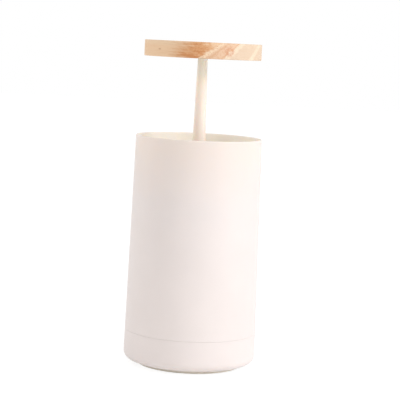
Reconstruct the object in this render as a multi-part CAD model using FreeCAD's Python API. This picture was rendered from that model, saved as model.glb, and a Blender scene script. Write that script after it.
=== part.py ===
import FreeCAD, Part
import math
import os

from FreeCAD import Vector

# Toothpick dispenser. Its lid is pressed down until a push-push latch holds it flush with the rim,
# and pressed again to let a spring raise it, with the tray that the toothpicks stand on.
# Millimetres, +Z up. The origin is the middle of the face that the foot stands on.
# The moving pieces are modelled at the top of their stroke, popped up.

# ---- Toothpicks ----------------------------------------------------------------------------
pick_length = 65.0
pick_headroom = 2.15          # between the tallest toothpick and the lid's underside

# ---- Body, outside -------------------------------------------------------------------------
base_diameter = 64.0          # of the tapered side, carried down to the table
rim_diameter = 60.6           # of the tapered side, at the rim
base_edge_radius = 3.6
seam_height = 16.5            # middle of the gap between shell and base cap
seam_gap = 0.15
seam_chamfer = 0.2

# ---- Body, inside --------------------------------------------------------------------------
shell_wall = 1.8              # at the stop bead, where the bore under it is nearest the outside
rim_wall = 1.1
lip_chamfer = 0.3
bead_bite = 1.1               # how far the stop bead reaches in over the tray's edge
bead_land = 1.2
bead_slope_height = 2.2
stop_ring_thickness = 1.0
stop_ring_play = 0.02
rib_count = 3                 # ribs that keep the tray from turning
rib_width = 2.4
rib_bite = 1.2
rib_lead = 1.5                # slope at a rib's lower end
rib_foot = 0.5                # a rib's lower end, above the spigot
floor_thickness = 2.8
cap_relief = 1.0              # of the cap's inside, out from the spigot's
cap_step = 2.0                # slope between the two
spigot_height = 4.0
spigot_wall = 1.6
spigot_play = 0.1

# ---- Lid and rod ---------------------------------------------------------------------------
lid_diameter = 56.0
lid_thickness = 7.6
lid_chamfer = 0.4
lid_gap = 37.7                # rim to the lid's underside, popped up
rod_top_diameter = 4.6
rod_foot_diameter = 7.3       # just above its collar
rod_seat_depth = 1.0          # how far the rod's tip is let into the lid
rod_seat_play = 0.1
collar_diameter = 10.8
collar_height = 1.4
shank_diameter = 6.2          # of the rod below its collar
stud_diameter = 2.4
stud_in_lid = 4.4
stud_in_rod = 9.0

# ---- Tray ----------------------------------------------------------------------------------
tray_play = 0.44              # to the shell, all round
tray_floor = 1.5
tray_lip_height = 1.0
tray_lip_width = 2.1
skirt_height = 9.0
skirt_wall = 1.4
hub_diameter = 12.4
hub_height = 6.0              # below the tray's floor
locating_ring_height = 3.5
locating_ring_wall = 1.0
tray_rib_count = 6
tray_rib_height = 3.5
tray_rib_width = 1.2
tray_rib_start = 2.2          # from the locating ring, clear of the spring
notch_play = 0.4
shank_play = 0.05
clip_thickness = 0.8
clip_diameter = 10.4
clip_groove_depth = 0.5
clip_play = 0.05
clip_gap = 3.4

# ---- Foot and ballast ----------------------------------------------------------------------
foot_proud = 1.8
foot_sunk = 1.2
foot_width = 6.6
foot_play = 0.2
foot_chamfer = 0.5
ballast_height = 6.0
ballast_margin = 2.85         # past the centres of the latch's screws
ballast_play = 0.3
ballast_lift = 0.1            # between the ballast and the latch's flange

# ---- Push-push latch -----------------------------------------------------------------------
slot_count = 4
lug_half_angle = 11.0         # degrees
lug_height = 2.8              # at its middle
lug_reach = 7.2               # radius of its outer end
rotor_core_diameter = 9.2
rotor_height = 5.0
rotor_bore_diameter = 5.0
tooth_height = 2.2
teeth_pressed_past = 1.5       # tooth heights that the rotor is pressed below its latched place
tooth_play_angle = 1.0        # between a bottomed lug and the next tooth, in degrees
slot_play_angle = 2.0         # each side of a lug in its slot, in degrees
running_gap = 0.35            # radial, rotor to sleeve
seat_gap = 0.03               # lug to notch, latched
pass_gap = 0.15               # spare height with which a lug clears the next tooth
land_height = 2.2             # of the sleeve's lands above their notches
roof_height = 1.8             # lead-in slopes on top of the lands
sleeve_wall = 1.65
sleeve_rim = 0.5
sleeve_sunk = 0.6             # locating recess in the base's floor
sleeve_play = 0.05
flange_thickness = 1.8
flange_margin = 0.2           # past its screw posts
key_count = 3
key_angle = 60.0
key_width = 2.4
key_height = 2.0
key_play = 0.1
cam_play = 0.1
cam_inset = 0.15              # of the cam ring's inside, from the sleeve's lands
under_screw_gap = 0.4         # rotor screw to the base's floor, fully pressed

# ---- Spring --------------------------------------------------------------------------------
spring_wire = 0.9
turn_count = 8                # active turns; one closed turn more at each end
closed_turn_play = 0.05       # between the wires of a closed turn
wire_side_count = 6
turn_step_count = 12
spring_sleeve_gap = 1.45      # inside of the coil to the sleeve
spring_end_gap = 0.05
spring_washer_thickness = 0.5
spring_washer_overhang = 0.4

# ---- Screws --------------------------------------------------------------------------------
screw_count = 3               # in the base, and as many again in the latch
thread_play = 0.05
rotor_screw_shoulder = 4.8    # diameters of the shoulder screw
rotor_screw_thread = 2.8
rotor_screw_thread_length = 9.0
rotor_screw_neck = 0.9        # depth of the neck that the washer sits in
rotor_screw_head = 7.0
rotor_screw_head_height = 2.0
rotor_washer_thickness = 0.4
rotor_end_play = 0.1
latch_screw_diameter = 2.2
latch_screw_head = 4.6
latch_screw_head_height = 1.6
latch_screw_length = 7.4
latch_post_wall = 1.4
base_screw_diameter = 2.6
base_screw_head = 5.2
base_screw_head_height = 2.0
base_screw_length = 13.0
base_post_wall = 2.0
pilot_spare = 0.5             # depth of a screw's hole past its tip
counterbore_play = 0.2
counterbore_depth = 2.2
pad_web = 1.4                 # under a base screw's head
pad_wall = 1.0                # round its counterbore
screw_hole_play = 0.2
boss_rise = 2.2               # of the shell's screw posts above the spigot
boss_web = 1.8
skirt_clearance = 1.6         # tray's skirt to those posts, fully pressed

# ---- Ways of joining and cutting --------------------------------------------------------------
past = 1.0                    # a cutting shape runs this far past the face it cuts
let_in = 0.5                  # a joined shape is let this far into its neighbour
ramp_step_angle = 8.0         # between the sections that a helical ramp is lofted through

# ---- Radii that follow ---------------------------------------------------------------------
sleeve_bore = rotor_core_diameter / 2 + running_gap
slot_radius = lug_reach + running_gap
sleeve_radius = slot_radius + sleeve_wall
coil_inner = sleeve_radius + spring_sleeve_gap
coil_radius = coil_inner + spring_wire / 2
coil_outer = coil_inner + spring_wire
washer_radius = coil_outer + spring_washer_overhang
latch_screw_circle = washer_radius + ballast_play + latch_screw_head / 2
latch_post_radius = latch_screw_diameter / 2 + latch_post_wall
flange_radius = latch_screw_circle + latch_post_radius + flange_margin
ballast_radius = latch_screw_circle + ballast_margin
pad_radius = base_screw_head / 2 + counterbore_play + pad_wall
base_screw_circle = ballast_radius + ballast_play + pad_radius
foot_inner = base_screw_circle - foot_width / 2
foot_outer = base_screw_circle + foot_width / 2
base_post_radius = base_screw_diameter / 2 + base_post_wall

# ---- Heights that follow, from the table up --------------------------------------------------
cap_bottom = foot_proud
groove_top = cap_bottom + foot_sunk
floor_top = cap_bottom + floor_thickness
sleeve_bottom = floor_top - sleeve_sunk
flange_bottom = floor_top + ballast_height + ballast_lift
flange_top = flange_bottom + flange_thickness
spring_bottom = flange_top + spring_washer_thickness
pad_top = groove_top + counterbore_depth + pad_web
spigot_top = seam_height + spigot_height
boss_top = spigot_top + boss_rise

# The latch's slopes rise by one tooth height in one tooth pitch. Its rotor steps on by half a
# slot pitch, one tooth, at each press.
tooth_pitch = 180.0 / slot_count
slope = tooth_height / tooth_pitch
lug_lean = slope * lug_half_angle
below_rotor = rotor_height / 2 + rotor_washer_thickness + rotor_screw_head_height + rotor_end_play
rotor_pressed = sleeve_bottom + under_screw_gap + below_rotor
valley_height = rotor_pressed - lug_height / 2 - lug_lean - slope * tooth_play_angle
rotor_latched = rotor_pressed + teeth_pressed_past * tooth_height + pass_gap
overtravel = rotor_latched - rotor_pressed
notch_height = rotor_latched + lug_height / 2 + seat_gap
roof_foot = notch_height + lug_lean + slope * slot_play_angle + land_height
sleeve_top = roof_foot + roof_height + sleeve_rim

# Latched, the lid's top is level with the rim; popped up, all that moves is one stroke higher.
stroke = lid_gap + lid_thickness
lip_latched = boss_top + skirt_clearance + overtravel + skirt_height
lid_latched = lip_latched - tray_lip_height + pick_length + pick_headroom
rim_height = lid_latched + lid_thickness
lid_bottom = lid_latched + stroke
lip_top = lip_latched + stroke
tray_top = lip_top - tray_lip_height
tray_under = tray_top - tray_floor
skirt_bottom = lip_top - skirt_height
hub_bottom = tray_under - hub_height
rotor_height_now = rotor_latched + stroke
rod_bottom = rotor_height_now + rotor_height / 2 + rotor_end_play
stop_under = lip_top + spring_end_gap


# ---- Radii at those heights --------------------------------------------------------------------
def outer_radius(height):
    """Radius of the tapered side."""
    return (base_diameter + (rim_diameter - base_diameter) * height / rim_height) / 2


bead_under = stop_under + stop_ring_thickness
bore = outer_radius(bead_under) - shell_wall
mouth = rim_diameter / 2 - rim_wall
spigot_outer = bore - spigot_play
spigot_inner = spigot_outer - spigot_wall
cap_inner = spigot_inner + cap_relief
tray_radius = bore - tray_play
bead_radius = tray_radius - bead_bite
rib_radius = tray_radius - rib_bite


# ---- Ways of making shapes -------------------------------------------------------------------
def bend(before, here, after, rounding):
    """Start, middle and end of the arc that rounds a corner."""
    back = (before - here).normalize()
    ahead = (after - here).normalize()
    half_angle = back.getAngle(ahead) / 2
    length = rounding / math.tan(half_angle)
    middle = here + (back + ahead).normalize() * (rounding / math.sin(half_angle) - rounding)
    return here + back * length, middle, here + ahead * length


def outline(*corners):
    """Closed face in the XZ plane with these (radius, height) corners. A third value rounds one."""
    places = [Vector(corner[0], 0, corner[1]) for corner in corners]
    bends = []
    for index, corner in enumerate(corners):
        here, after = places[index], places[(index + 1) % len(places)]
        if len(corner) == 2:
            bends.append((here, here, here))
        else:
            bends.append(bend(places[index - 1], here, after, corner[2]))
    edges = []
    for index, (start, middle, end) in enumerate(bends):
        edges.append(Part.makeLine(bends[index - 1][2], start))
        if len(corners[index]) > 2:
            edges.append(Part.Arc(start, middle, end).toShape())
    return Part.Face(Part.Wire(edges))


def turned(*corners):
    """Solid turned about Z from an outline of (radius, height) corners."""
    return outline(*corners).revolve(Vector(), Vector(0, 0, 1), 360)


def ring(inner, outer, bottom, top):
    return turned((inner, bottom), (outer, bottom), (outer, top), (inner, top))


def post(radius, bottom, top, distance=0.0):
    return Part.makeCylinder(radius, top - bottom, Vector(distance, 0, bottom))


def block(inner, outer, width, bottom, top):
    """Bar along +X between two radii, centred on it."""
    return Part.makeBox(outer - inner, width, top - bottom, Vector(inner, -width / 2, bottom))


def fin(width, *corners):
    """Flat fin in the XZ plane with these (radius, height) corners."""
    return outline(*corners).extrude(Vector(0, width, 0)).translated(Vector(0, -width / 2, 0))


def spaced(shape, count, first=0.0):
    """Copies evenly round Z, the first turned by this angle."""
    copies = []
    for index in range(count):
        copy = shape.copy()
        copy.rotate(Vector(), Vector(0, 0, 1), first + 360.0 * index / count)
        copies.append(copy)
    return copies


def between_ribs(shape):
    """Copies for the base screws, midway between the shell's guide ribs."""
    return spaced(shape, screw_count, 180.0 / rib_count)


def ramp(inner, outer, start, end, low, high):
    """Sector of a ring whose lower and upper faces are helical: low(angle) and high(angle)."""
    sections = []
    count = math.ceil((end - start) / ramp_step_angle)
    for index in range(count + 1):
        angle = start + (end - start) * index / count
        near, far = inner - past, outer + past
        corners = [(near, low(angle)), (far, low(angle)), (far, high(angle)), (near, high(angle))]
        points = [Vector(radius, 0, height) for radius, height in corners]
        section = Part.makePolygon(points + points[:1])
        section.rotate(Vector(), Vector(0, 0, 1), angle)
        sections.append(section)
    heights = [low(start), low(end), high(start), high(end)]
    sweep = Part.makeLoft(sections, True, True)
    return sweep.common(ring(inner, outer, min(heights) - past, max(heights) + past))


def screw(head_diameter, head_height, diameter, length):
    """Screw along Z, tip down, with the underside of its head at zero."""
    head, shank = head_diameter / 2, diameter / 2
    return turned((0, -length), (shank, -length), (shank, 0), (head, 0), (head, head_height),
                  (0, head_height))


# ---- Body ------------------------------------------------------------------------------------
def body_shell():
    """Tapered tube with a stop bead, guide ribs and screw posts."""
    bottom = seam_height + seam_gap / 2
    rim = rim_diameter / 2
    shell = turned(
        (bore, bottom),
        (outer_radius(bottom) - seam_chamfer, bottom),
        (outer_radius(bottom), bottom + seam_chamfer),
        (rim, rim_height - lip_chamfer),
        (rim - lip_chamfer, rim_height),
        (mouth + lip_chamfer, rim_height),
        (mouth, rim_height - lip_chamfer),
        (mouth, bead_under + bead_land + bead_slope_height),
        (bead_radius, bead_under + bead_land),
        (bead_radius, bead_under),
        (bore, bead_under))
    rib_bottom = spigot_top + rib_foot
    rib = fin(rib_width, (rib_radius + rib_lead, rib_bottom), (bore + let_in, rib_bottom),
              (bore + let_in, stop_under), (rib_radius, stop_under), (rib_radius, rib_bottom + rib_lead))
    boss = post(base_post_radius, pad_top, boss_top, base_screw_circle)
    web = block(base_screw_circle, bore + let_in, boss_web, bottom, boss_top)
    pilot = post(base_screw_diameter / 2 + thread_play, pad_top - past,
                 groove_top + counterbore_depth + base_screw_length + pilot_spare, base_screw_circle)
    shell = shell.fuse(spaced(rib, rib_count) + between_ribs(boss) + between_ribs(web))
    return shell.cut(between_ribs(pilot)).removeSplitter()


def base_cap():
    """Cup under the seam: rounded bottom edge, spigot, foot groove and screw posts."""
    top = seam_height - seam_gap / 2
    groove_inner = foot_inner - foot_play
    groove_outer = foot_outer + foot_play
    cap = turned(
        (0, cap_bottom),
        (groove_inner, cap_bottom),
        (groove_inner, groove_top),
        (groove_outer, groove_top),
        (groove_outer, cap_bottom),
        (outer_radius(cap_bottom), cap_bottom, base_edge_radius),
        (outer_radius(top - seam_chamfer), top - seam_chamfer),
        (outer_radius(top) - seam_chamfer, top),
        (spigot_outer, top),
        (spigot_outer, spigot_top),
        (spigot_inner, spigot_top),
        (spigot_inner, top),
        (cap_inner, top - cap_step),
        (cap_inner, floor_top),
        (sleeve_radius + sleeve_play, floor_top),
        (sleeve_radius + sleeve_play, sleeve_bottom),
        (0, sleeve_bottom))
    pad = post(pad_radius, floor_top, pad_top, base_screw_circle)
    latch_post = post(latch_post_radius, floor_top, flange_bottom, latch_screw_circle)
    cap = cap.fuse(between_ribs(pad) + spaced(latch_post, screw_count))
    counterbore = post(base_screw_head / 2 + counterbore_play, cap_bottom,
                       groove_top + counterbore_depth, base_screw_circle)
    hole = post(base_screw_diameter / 2 + screw_hole_play, cap_bottom, pad_top + past, base_screw_circle)
    pilot = post(latch_screw_diameter / 2 + thread_play, flange_top - latch_screw_length - pilot_spare,
                 flange_bottom + past, latch_screw_circle)
    web_gap = block(spigot_inner - past, spigot_outer + spigot_play, boss_web + 2 * key_play,
                    top, spigot_top + past)
    cuts = spaced(pilot, screw_count)
    cuts += between_ribs(counterbore) + between_ribs(hole) + between_ribs(web_gap)
    return cap.cut(cuts).removeSplitter()


def foot_ring():
    """Soft ring pressed into the base's groove, over the screws."""
    return turned((foot_inner, 0), (foot_outer - foot_chamfer, 0), (foot_outer, foot_chamfer),
                  (foot_outer, groove_top), (foot_inner, groove_top))


def base_weight():
    """Steel ballast ring, slotted for the posts that the latch is screwed to."""
    top = floor_top + ballast_height
    weight = ring(sleeve_radius + ballast_play, ballast_radius, floor_top, top)
    half = latch_post_radius + ballast_play
    end = post(half, floor_top - past, top + past, latch_screw_circle)
    way_out = block(latch_screw_circle, ballast_radius + past, 2 * half, floor_top - past, top + past)
    return weight.cut(spaced(end, screw_count) + spaced(way_out, screw_count))


def base_screws():
    """Screws up through the base into the shell's posts."""
    upward = screw(base_screw_head, base_screw_head_height, base_screw_diameter, base_screw_length)
    upward.rotate(Vector(), Vector(1, 0, 0), 180)
    upward.translate(Vector(base_screw_circle, 0, groove_top + counterbore_depth))
    return Part.makeCompound(between_ribs(upward))


def stop_ring():
    """Soft ring under the stop bead, which the tray's lip meets when the lid pops up."""
    return ring(bead_radius, bore - stop_ring_play, stop_under, bead_under)


# ---- Push-push latch ---------------------------------------------------------------------------
def latch_sleeve():
    """Fixed sleeve. Between its slots, lands carry notches underneath and lead-in slopes on top."""
    half_slot = lug_half_angle + slot_play_angle
    notch_wall = tooth_pitch + half_slot
    far_edge = 2 * tooth_pitch - half_slot
    half_land = (far_edge - half_slot) / 2

    def roof(angle):
        return roof_foot + roof_height * (1 - abs(angle - tooth_pitch) / half_land)

    def notch(angle):
        return notch_height + slope * (angle - tooth_pitch)

    def lead_out(angle):
        return notch(angle) - tooth_height

    tube = ring(slot_radius, sleeve_radius, sleeve_bottom, sleeve_top)
    flange = ring(slot_radius + let_in, flange_radius, flange_bottom, flange_top)
    seat = ramp(sleeve_bore, slot_radius + let_in, half_slot, tooth_pitch, notch, roof)
    stop = ramp(sleeve_bore, slot_radius + let_in, tooth_pitch, notch_wall, notch, roof)
    exit_ramp = ramp(sleeve_bore, slot_radius + let_in, notch_wall, far_edge, lead_out, roof)
    land = seat.fuse([stop, exit_ramp]).removeSplitter()
    sleeve = tube.fuse([flange] + spaced(land, slot_count))
    hole = post(latch_screw_diameter / 2 + screw_hole_play, flange_bottom - past, flange_top + past,
                latch_screw_circle)
    keyway = block(slot_radius - past, sleeve_radius + past, key_width + 2 * key_play,
                   sleeve_bottom - past, sleeve_bottom + key_height + key_play)
    keyways = spaced(keyway, key_count, key_angle)
    return sleeve.cut(spaced(hole, screw_count) + keyways).removeSplitter()


def latch_cam_ring():
    """Fixed ring of teeth that turns the rotor on each time the lid is pressed home."""
    outer = slot_radius - cam_play
    inner = sleeve_bore + cam_inset
    peak = lug_half_angle + tooth_play_angle - tooth_pitch / 2

    def flank(angle):
        return valley_height + tooth_height - slope * (angle - peak)

    base = ring(inner, outer, sleeve_bottom, valley_height)
    tooth = ramp(inner, outer, peak, peak + tooth_pitch, lambda angle: valley_height - past, flank)
    key = block(outer - let_in, sleeve_radius + past, key_width, sleeve_bottom, sleeve_bottom + key_height)
    key = key.common(ring(inner, sleeve_radius, sleeve_bottom, sleeve_top))
    keys = spaced(key, key_count, key_angle)
    return base.fuse(spaced(tooth, 2 * slot_count) + keys).removeSplitter()


def latch_rotor():
    """Rotor with lugs that are tall at their leading side, so that both cams push it one way."""
    middle = rotor_height_now

    def under(angle):
        return middle - lug_height / 2 - slope * angle

    def over(angle):
        return middle + lug_height / 2 + slope * angle

    core = ring(rotor_bore_diameter / 2, rotor_core_diameter / 2,
                middle - rotor_height / 2, middle + rotor_height / 2)
    lug = ramp(rotor_core_diameter / 2 - let_in, lug_reach, -lug_half_angle, lug_half_angle, under, over)
    return core.fuse(spaced(lug, slot_count)).removeSplitter()


def rotor_washer():
    top = rotor_height_now - rotor_height / 2 - rotor_end_play
    return ring(rotor_screw_shoulder / 2 - rotor_screw_neck, rotor_screw_head / 2,
                top - rotor_washer_thickness, top)


def rotor_screw():
    """Shoulder screw: the rotor turns on it, and it holds the washer."""
    washer_top = rotor_height_now - rotor_height / 2 - rotor_end_play
    head_top = washer_top - rotor_washer_thickness
    head = rotor_screw_head / 2
    shoulder = rotor_screw_shoulder / 2
    neck = shoulder - rotor_screw_neck
    thread = rotor_screw_thread / 2
    return turned(
        (0, head_top - rotor_screw_head_height),
        (head, head_top - rotor_screw_head_height),
        (head, head_top),
        (neck, head_top),
        (neck, washer_top),
        (shoulder, washer_top),
        (shoulder, rod_bottom),
        (thread, rod_bottom),
        (thread, rod_bottom + rotor_screw_thread_length),
        (0, rod_bottom + rotor_screw_thread_length))


def latch_screws():
    """Screws that hold the sleeve, and the ballast under it, to the base."""
    downward = screw(latch_screw_head, latch_screw_head_height, latch_screw_diameter,
                     latch_screw_length)
    downward.translate(Vector(latch_screw_circle, 0, flange_top))
    return Part.makeCompound(spaced(downward, screw_count))


# ---- Spring ------------------------------------------------------------------------------------
def spring_washer():
    return ring(sleeve_radius + spring_end_gap, washer_radius, flange_top, spring_bottom)


def main_spring():
    """Compression spring with a closed turn at each end, popped up."""
    wire_radius = spring_wire / 2
    height = spring_bottom + wire_radius
    coiled = tray_under - spring_end_gap - wire_radius - height
    closed_pitch = spring_wire + closed_turn_play
    open_pitch = (coiled - 2 * closed_pitch) / turn_count
    sections = []
    for step in range((turn_count + 2) * turn_step_count + 1):
        points = []
        for side in range(wire_side_count + 1):
            angle = 2 * math.pi * side / wire_side_count
            points.append(Vector(coil_radius + wire_radius * math.cos(angle), 0,
                                 height + wire_radius * math.sin(angle)))
        section = Part.makePolygon(points)
        section.rotate(Vector(), Vector(0, 0, 1), 360.0 * step / turn_step_count)
        sections.append(section)
        closed = step < turn_step_count or step >= (turn_count + 1) * turn_step_count
        height += (closed_pitch if closed else open_pitch) / turn_step_count
    return Part.makeLoft(sections, True, True)


# ---- Lid, rod and tray -------------------------------------------------------------------------
def lid_disc():
    """Solid pine disc with broken edges, bored for the rod's tip and the stud."""
    radius, top = lid_diameter / 2, lid_bottom + lid_thickness
    seat = rod_top_diameter / 2 + rod_seat_play
    stud = stud_diameter / 2 + thread_play
    seat_top = lid_bottom + rod_seat_depth
    stud_top = seat_top + stud_in_lid + pilot_spare
    return turned(
        (seat, lid_bottom),
        (radius - lid_chamfer, lid_bottom),
        (radius, lid_bottom + lid_chamfer),
        (radius, top - lid_chamfer),
        (radius - lid_chamfer, top),
        (0, top),
        (0, stud_top),
        (stud, stud_top),
        (stud, seat_top),
        (seat, seat_top))


def lift_rod():
    """Tapered rod with a collar on the tray's hub and a shank through it to the latch."""
    tip = lid_bottom + rod_seat_depth
    collar_top = tray_top + collar_height
    collar = collar_diameter / 2
    foot = rod_foot_diameter / 2
    shank = shank_diameter / 2
    stud = stud_diameter / 2 + thread_play
    stud_bottom = tip - stud_in_rod - pilot_spare
    thread = rotor_screw_thread / 2 + thread_play
    thread_top = rod_bottom + rotor_screw_thread_length + pilot_spare
    groove = shank - clip_groove_depth
    groove_bottom = hub_bottom - clip_thickness - clip_play
    return turned(
        (thread, rod_bottom),
        (shank, rod_bottom),
        (shank, groove_bottom),
        (groove, groove_bottom),
        (groove, hub_bottom),
        (shank, hub_bottom),
        (shank, tray_top),
        (collar, tray_top),
        (collar, collar_top),
        (foot, collar_top + collar - foot),
        (rod_top_diameter / 2, lid_bottom),
        (rod_top_diameter / 2, tip),
        (stud, tip),
        (stud, stud_bottom),
        (0, stud_bottom),
        (0, thread_top),
        (thread, thread_top))


def lid_stud():
    """Headless stud, half in the rod's tip and half in the pine."""
    middle = lid_bottom + rod_seat_depth
    return post(stud_diameter / 2, middle - stud_in_rod, middle + stud_in_lid)


def pick_tray():
    """Tray with a lip, a notched skirt, a hub, a ring that locates the spring, and ribs."""
    shank_bore = shank_diameter / 2 + shank_play
    hub = hub_diameter / 2
    locator = coil_inner - running_gap
    locator_bottom = tray_under - locating_ring_height
    lip_inner = tray_radius - tray_lip_width
    skirt_inner = tray_radius - skirt_wall
    tray = turned(
        (shank_bore, hub_bottom),
        (hub, hub_bottom),
        (hub, tray_under),
        (locator - locating_ring_wall, tray_under),
        (locator - locating_ring_wall, locator_bottom),
        (locator, locator_bottom),
        (locator, tray_under),
        (skirt_inner, tray_under),
        (skirt_inner, skirt_bottom),
        (tray_radius, skirt_bottom),
        (tray_radius, lip_top),
        (lip_inner, lip_top),
        (lip_inner, tray_top),
        (shank_bore, tray_top))
    rib_bottom = tray_under - tray_rib_height
    rib_start = locator + tray_rib_start
    rib = fin(tray_rib_width, (rib_start, tray_under + let_in), (skirt_inner + let_in, tray_under + let_in),
              (skirt_inner + let_in, rib_bottom), (rib_start + tray_rib_height, rib_bottom))
    tray = tray.fuse(spaced(rib, tray_rib_count, 180.0 / tray_rib_count))
    notch = block(rib_radius - notch_play, tray_radius + past, rib_width + 2 * notch_play,
                  skirt_bottom - past, lip_top + past)
    return tray.cut(spaced(notch, rib_count)).removeSplitter()


def tray_clip():
    """Open retaining ring in the rod's groove, under the tray's hub."""
    inner = shank_diameter / 2 - clip_groove_depth
    bottom = hub_bottom - clip_thickness
    clip = ring(inner, clip_diameter / 2, bottom, hub_bottom)
    return clip.cut(block(0, clip_diameter, clip_gap, bottom - past, hub_bottom + past))


# ---- The pieces, one file each -----------------------------------------------------------------
pieces = [body_shell, base_cap, foot_ring, base_weight, base_screws, stop_ring,
          latch_sleeve, latch_cam_ring, latch_screws, spring_washer, main_spring,
          lid_disc, lid_stud, lift_rod, pick_tray, tray_clip, rotor_screw, rotor_washer,
          latch_rotor]

os.makedirs("parts", exist_ok=True)
for piece in pieces:
    piece().exportStep("parts/" + piece.__name__ + ".step")
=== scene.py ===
"""Looks of the toothpick dispenser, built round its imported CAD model.

The pieces that show are made again here with true roundings, and so are the screws, the stud and
the spring, with threads and round wire. The other pieces inside keep their CAD shapes. Shapes are
worked out in millimetres and become metres when a mesh is made.
"""
import math

import bmesh
import bpy
from mathutils import Matrix, Vector


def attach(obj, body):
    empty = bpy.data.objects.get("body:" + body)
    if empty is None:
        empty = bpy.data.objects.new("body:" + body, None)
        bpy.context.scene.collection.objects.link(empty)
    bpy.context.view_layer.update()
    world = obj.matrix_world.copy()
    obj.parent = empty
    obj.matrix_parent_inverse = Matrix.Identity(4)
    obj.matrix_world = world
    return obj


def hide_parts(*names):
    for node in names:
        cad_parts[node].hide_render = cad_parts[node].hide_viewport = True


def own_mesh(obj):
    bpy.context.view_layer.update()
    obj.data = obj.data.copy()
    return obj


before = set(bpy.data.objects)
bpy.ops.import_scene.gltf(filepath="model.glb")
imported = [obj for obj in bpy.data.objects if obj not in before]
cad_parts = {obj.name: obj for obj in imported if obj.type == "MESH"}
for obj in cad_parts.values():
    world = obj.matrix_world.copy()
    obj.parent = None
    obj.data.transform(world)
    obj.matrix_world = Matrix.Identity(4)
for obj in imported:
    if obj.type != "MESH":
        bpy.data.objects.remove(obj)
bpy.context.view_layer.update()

MM = 0.001
PHOTO_WIDTH = 400                   # pixels


# ---- Sizes read from the frame ---------------------------------------------------------------
def corners_of(node):
    """(distance from the axis, height) of every corner of a CAD node, to a micrometre."""
    places = [vertex.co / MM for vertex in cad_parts[node].data.vertices]
    return [(round(math.hypot(place.x, place.y), 3), round(place.z, 3)) for place in places]


def levels(node):
    """(lowest, highest) height of a CAD node."""
    heights = [height for _, height in corners_of(node)]
    return min(heights), max(heights)


def reach(node, low=-math.inf, high=math.inf):
    """(nearest, farthest) corner of a CAD node from the axis between two heights."""
    distances = [distance for distance, height in corners_of(node) if low <= height <= high]
    return min(distances), max(distances)


def side_heights(node):
    """(lowest, highest) corner of a CAD node outside the shell's bore."""
    heights = [height for distance, height in corners_of(node) if distance > bore + 1]
    return min(heights), max(heights)


boss_bottom, rim_height = levels("body_shell")
cap_bottom, spigot_top = levels("base_cap")
groove_top = levels("foot_ring")[1]
floor_top = levels("base_weight")[0]
screw_face, screw_tip = levels("base_screws")
latch_screw_tip, latch_screw_face = levels("latch_screws")
flange_top = levels("spring_washer")[0]
sleeve_bottom = levels("latch_sleeve")[0]
spring_bottom = levels("spring_washer")[1]
stop_under, bead_under = levels("stop_ring")
skirt_bottom, tray_lip = levels("pick_tray")
hub_bottom = levels("tray_clip")[1]
rod_bottom, rod_tip = levels("lift_rod")
lid_bottom, lid_top = levels("lid_disc")
stud_bottom, stud_top = levels("lid_stud")
rotor_screw_face, thread_top = levels("rotor_screw")
washer_bottom, washer_top = levels("rotor_washer")

bead_radius, stop_ring_radius = reach("stop_ring")
bore = stop_ring_radius + 0.02      # the soft ring's play
foot_inner, foot_outer = reach("foot_ring")
shell_radius, shell_radius_height = max(corners_of("body_shell"))
mouth, rim_radius = reach("body_shell", rim_height - 1)     # in its top millimetre
shell_bottom = side_heights("body_shell")[0]
cap_side_top = side_heights("base_cap")[1]
screw_circle = sum(reach("base_screws")) / 2
latch_screw_circle = sum(reach("latch_screws")) / 2
sleeve_radius = reach("latch_sleeve", sleeve_bottom, floor_top)[1]
tray_radius = reach("pick_tray")[1]
lid_radius = reach("lid_disc")[1]
lid_middle = (lid_bottom + lid_top) / 2
spring_inner, spring_outer = reach("main_spring")

# ---- Sizes of details ------------------------------------------------------------------------
SEAM_ROUND = 0.1
SEAM_CLOSED = 0.06                  # how far each edge of the seam closes the CAD gap
BASE_ROUND = 3.6
LIP_ROUND = 0.4
SCREW_HEAD = 2.0                    # height of a base screw's head
LATCH_SCREW_HEAD = 1.6
SCREW_COUNT = 3                     # in the base, and as many in the latch
RIB_COUNT = 3                       # guide ribs in the shell
RIB_WIDTH = 2.4
RIB_BITE = 1.2                      # how far a guide rib reaches in past the tray's edge
BETWEEN_RIBS = 180.0 / RIB_COUNT    # degrees round to the middle between two ribs
STUD_BORE = 1.25                    # radius, in the rod and in the lid
INSIDE = 0.02                       # how far the side stays inside the CAD side
LET_IN = 0.5                        # a joined shape is let this far into its neighbour
PAST = 1.0                          # a cutter runs this far past the face it cuts
SHARP_ANGLE = math.radians(40)
TURNED_SEGMENTS = 144
SMALL_SEGMENTS = 48                 # round screws and posts

tray_top = tray_lip - 1.0           # the lip's height
tray_under = tray_top - 1.5         # the floor's thickness


def side(height):
    """Radius of the tapered side."""
    share = (height - shell_radius_height) / (rim_height - shell_radius_height)
    return shell_radius + (rim_radius - shell_radius) * share - INSIDE


# ---- Ways of making shapes -------------------------------------------------------------------
def piece(name, mesh):
    """Object of a bmesh in millimetres, with its faces turned outward and its size in metres."""
    bmesh.ops.recalc_face_normals(mesh, faces=mesh.faces)
    bmesh.ops.scale(mesh, vec=(MM, MM, MM), verts=mesh.verts)
    data = bpy.data.meshes.new(name)
    mesh.to_mesh(data)
    mesh.free()
    made = bpy.data.objects.new(name, data)
    bpy.context.scene.collection.objects.link(made)
    return made


def smoothed(made):
    """The same object with smooth shading, its sharp edges kept and its flat faces flat."""
    made.data.shade_smooth()
    made.data.set_sharp_from_angle(angle=SHARP_ANGLE)
    weighted = made.modifiers.new("even shading", "WEIGHTED_NORMAL")
    weighted.keep_sharp = True
    return made


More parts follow.
